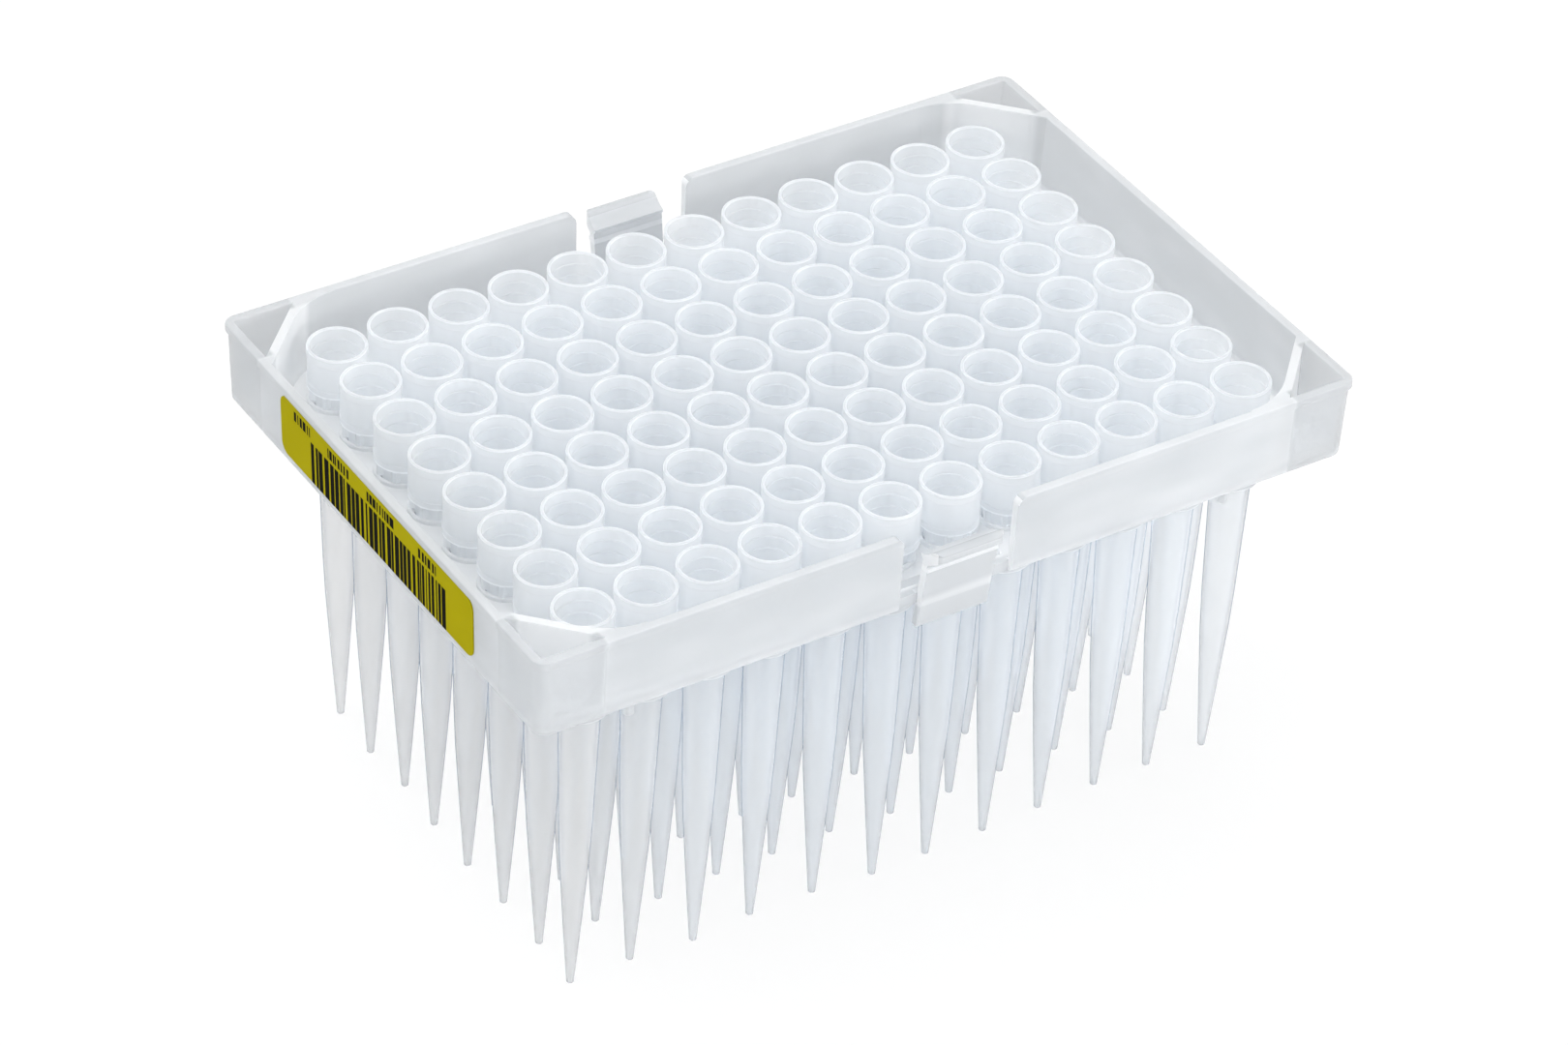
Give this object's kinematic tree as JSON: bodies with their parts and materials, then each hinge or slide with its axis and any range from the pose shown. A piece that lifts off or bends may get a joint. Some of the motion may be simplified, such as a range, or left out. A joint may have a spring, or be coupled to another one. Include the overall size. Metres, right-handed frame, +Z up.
{
  "type": "pipette tip rack",
  "caption": "Moulded tray holding a grid of open conical pipette tips, with a snap latch in each long side and a plain code label on one end.",
  "frame": {"origin": "level of the tips' points, under the middle of the tray", "axes": "+Z up out of the tips' sockets, +X along the long walls away from the label, +Y across to the wall beside row a"},
  "size_m": [0.1224, 0.0876, 0.0635],
  "materials": {
    "tray_plastic": "natural translucent polypropylene, satin",
    "tip_plastic": "clear polypropylene, polished",
    "label_paper": "satin print"
  },
  "bodies": {
    "root": {"tip_tray": "tray_plastic", "code_label": "label_paper", "tip_a1": "tip_plastic", "tip_a2": "tip_plastic", "tip_a3": "tip_plastic", "tip_a4": "tip_plastic", "tip_a5": "tip_plastic", "tip_a6": "tip_plastic", "tip_a7": "tip_plastic", "tip_a8": "tip_plastic", "tip_a9": "tip_plastic", "tip_a10": "tip_plastic", "tip_a11": "tip_plastic", "tip_a12": "tip_plastic", "tip_b1": "tip_plastic", "tip_b2": "tip_plastic", "tip_b3": "tip_plastic", "tip_b4": "tip_plastic", "tip_b5": "tip_plastic", "tip_b6": "tip_plastic", "tip_b7": "tip_plastic", "tip_b8": "tip_plastic", "tip_b9": "tip_plastic", "tip_b10": "tip_plastic", "tip_b11": "tip_plastic", "tip_b12": "tip_plastic", "tip_c1": "tip_plastic", "tip_c12": "tip_plastic", "tip_d1": "tip_plastic", "tip_d12": "tip_plastic", "tip_e1": "tip_plastic", "tip_e12": "tip_plastic", "tip_f1": "tip_plastic", "tip_f12": "tip_plastic", "tip_g1": "tip_plastic", "tip_g2": "tip_plastic", "tip_g3": "tip_plastic", "tip_g4": "tip_plastic", "tip_g5": "tip_plastic", "tip_g6": "tip_plastic", "tip_g7": "tip_plastic", "tip_g8": "tip_plastic", "tip_g9": "tip_plastic", "tip_g10": "tip_plastic", "tip_g11": "tip_plastic", "tip_g12": "tip_plastic", "tip_h1": "tip_plastic", "tip_h2": "tip_plastic", "tip_h3": "tip_plastic", "tip_h4": "tip_plastic", "tip_h5": "tip_plastic", "tip_h6": "tip_plastic", "tip_h7": "tip_plastic", "tip_h8": "tip_plastic", "tip_h9": "tip_plastic", "tip_h10": "tip_plastic", "tip_h11": "tip_plastic", "tip_h12": "tip_plastic"}
  },
  "joints": []
}
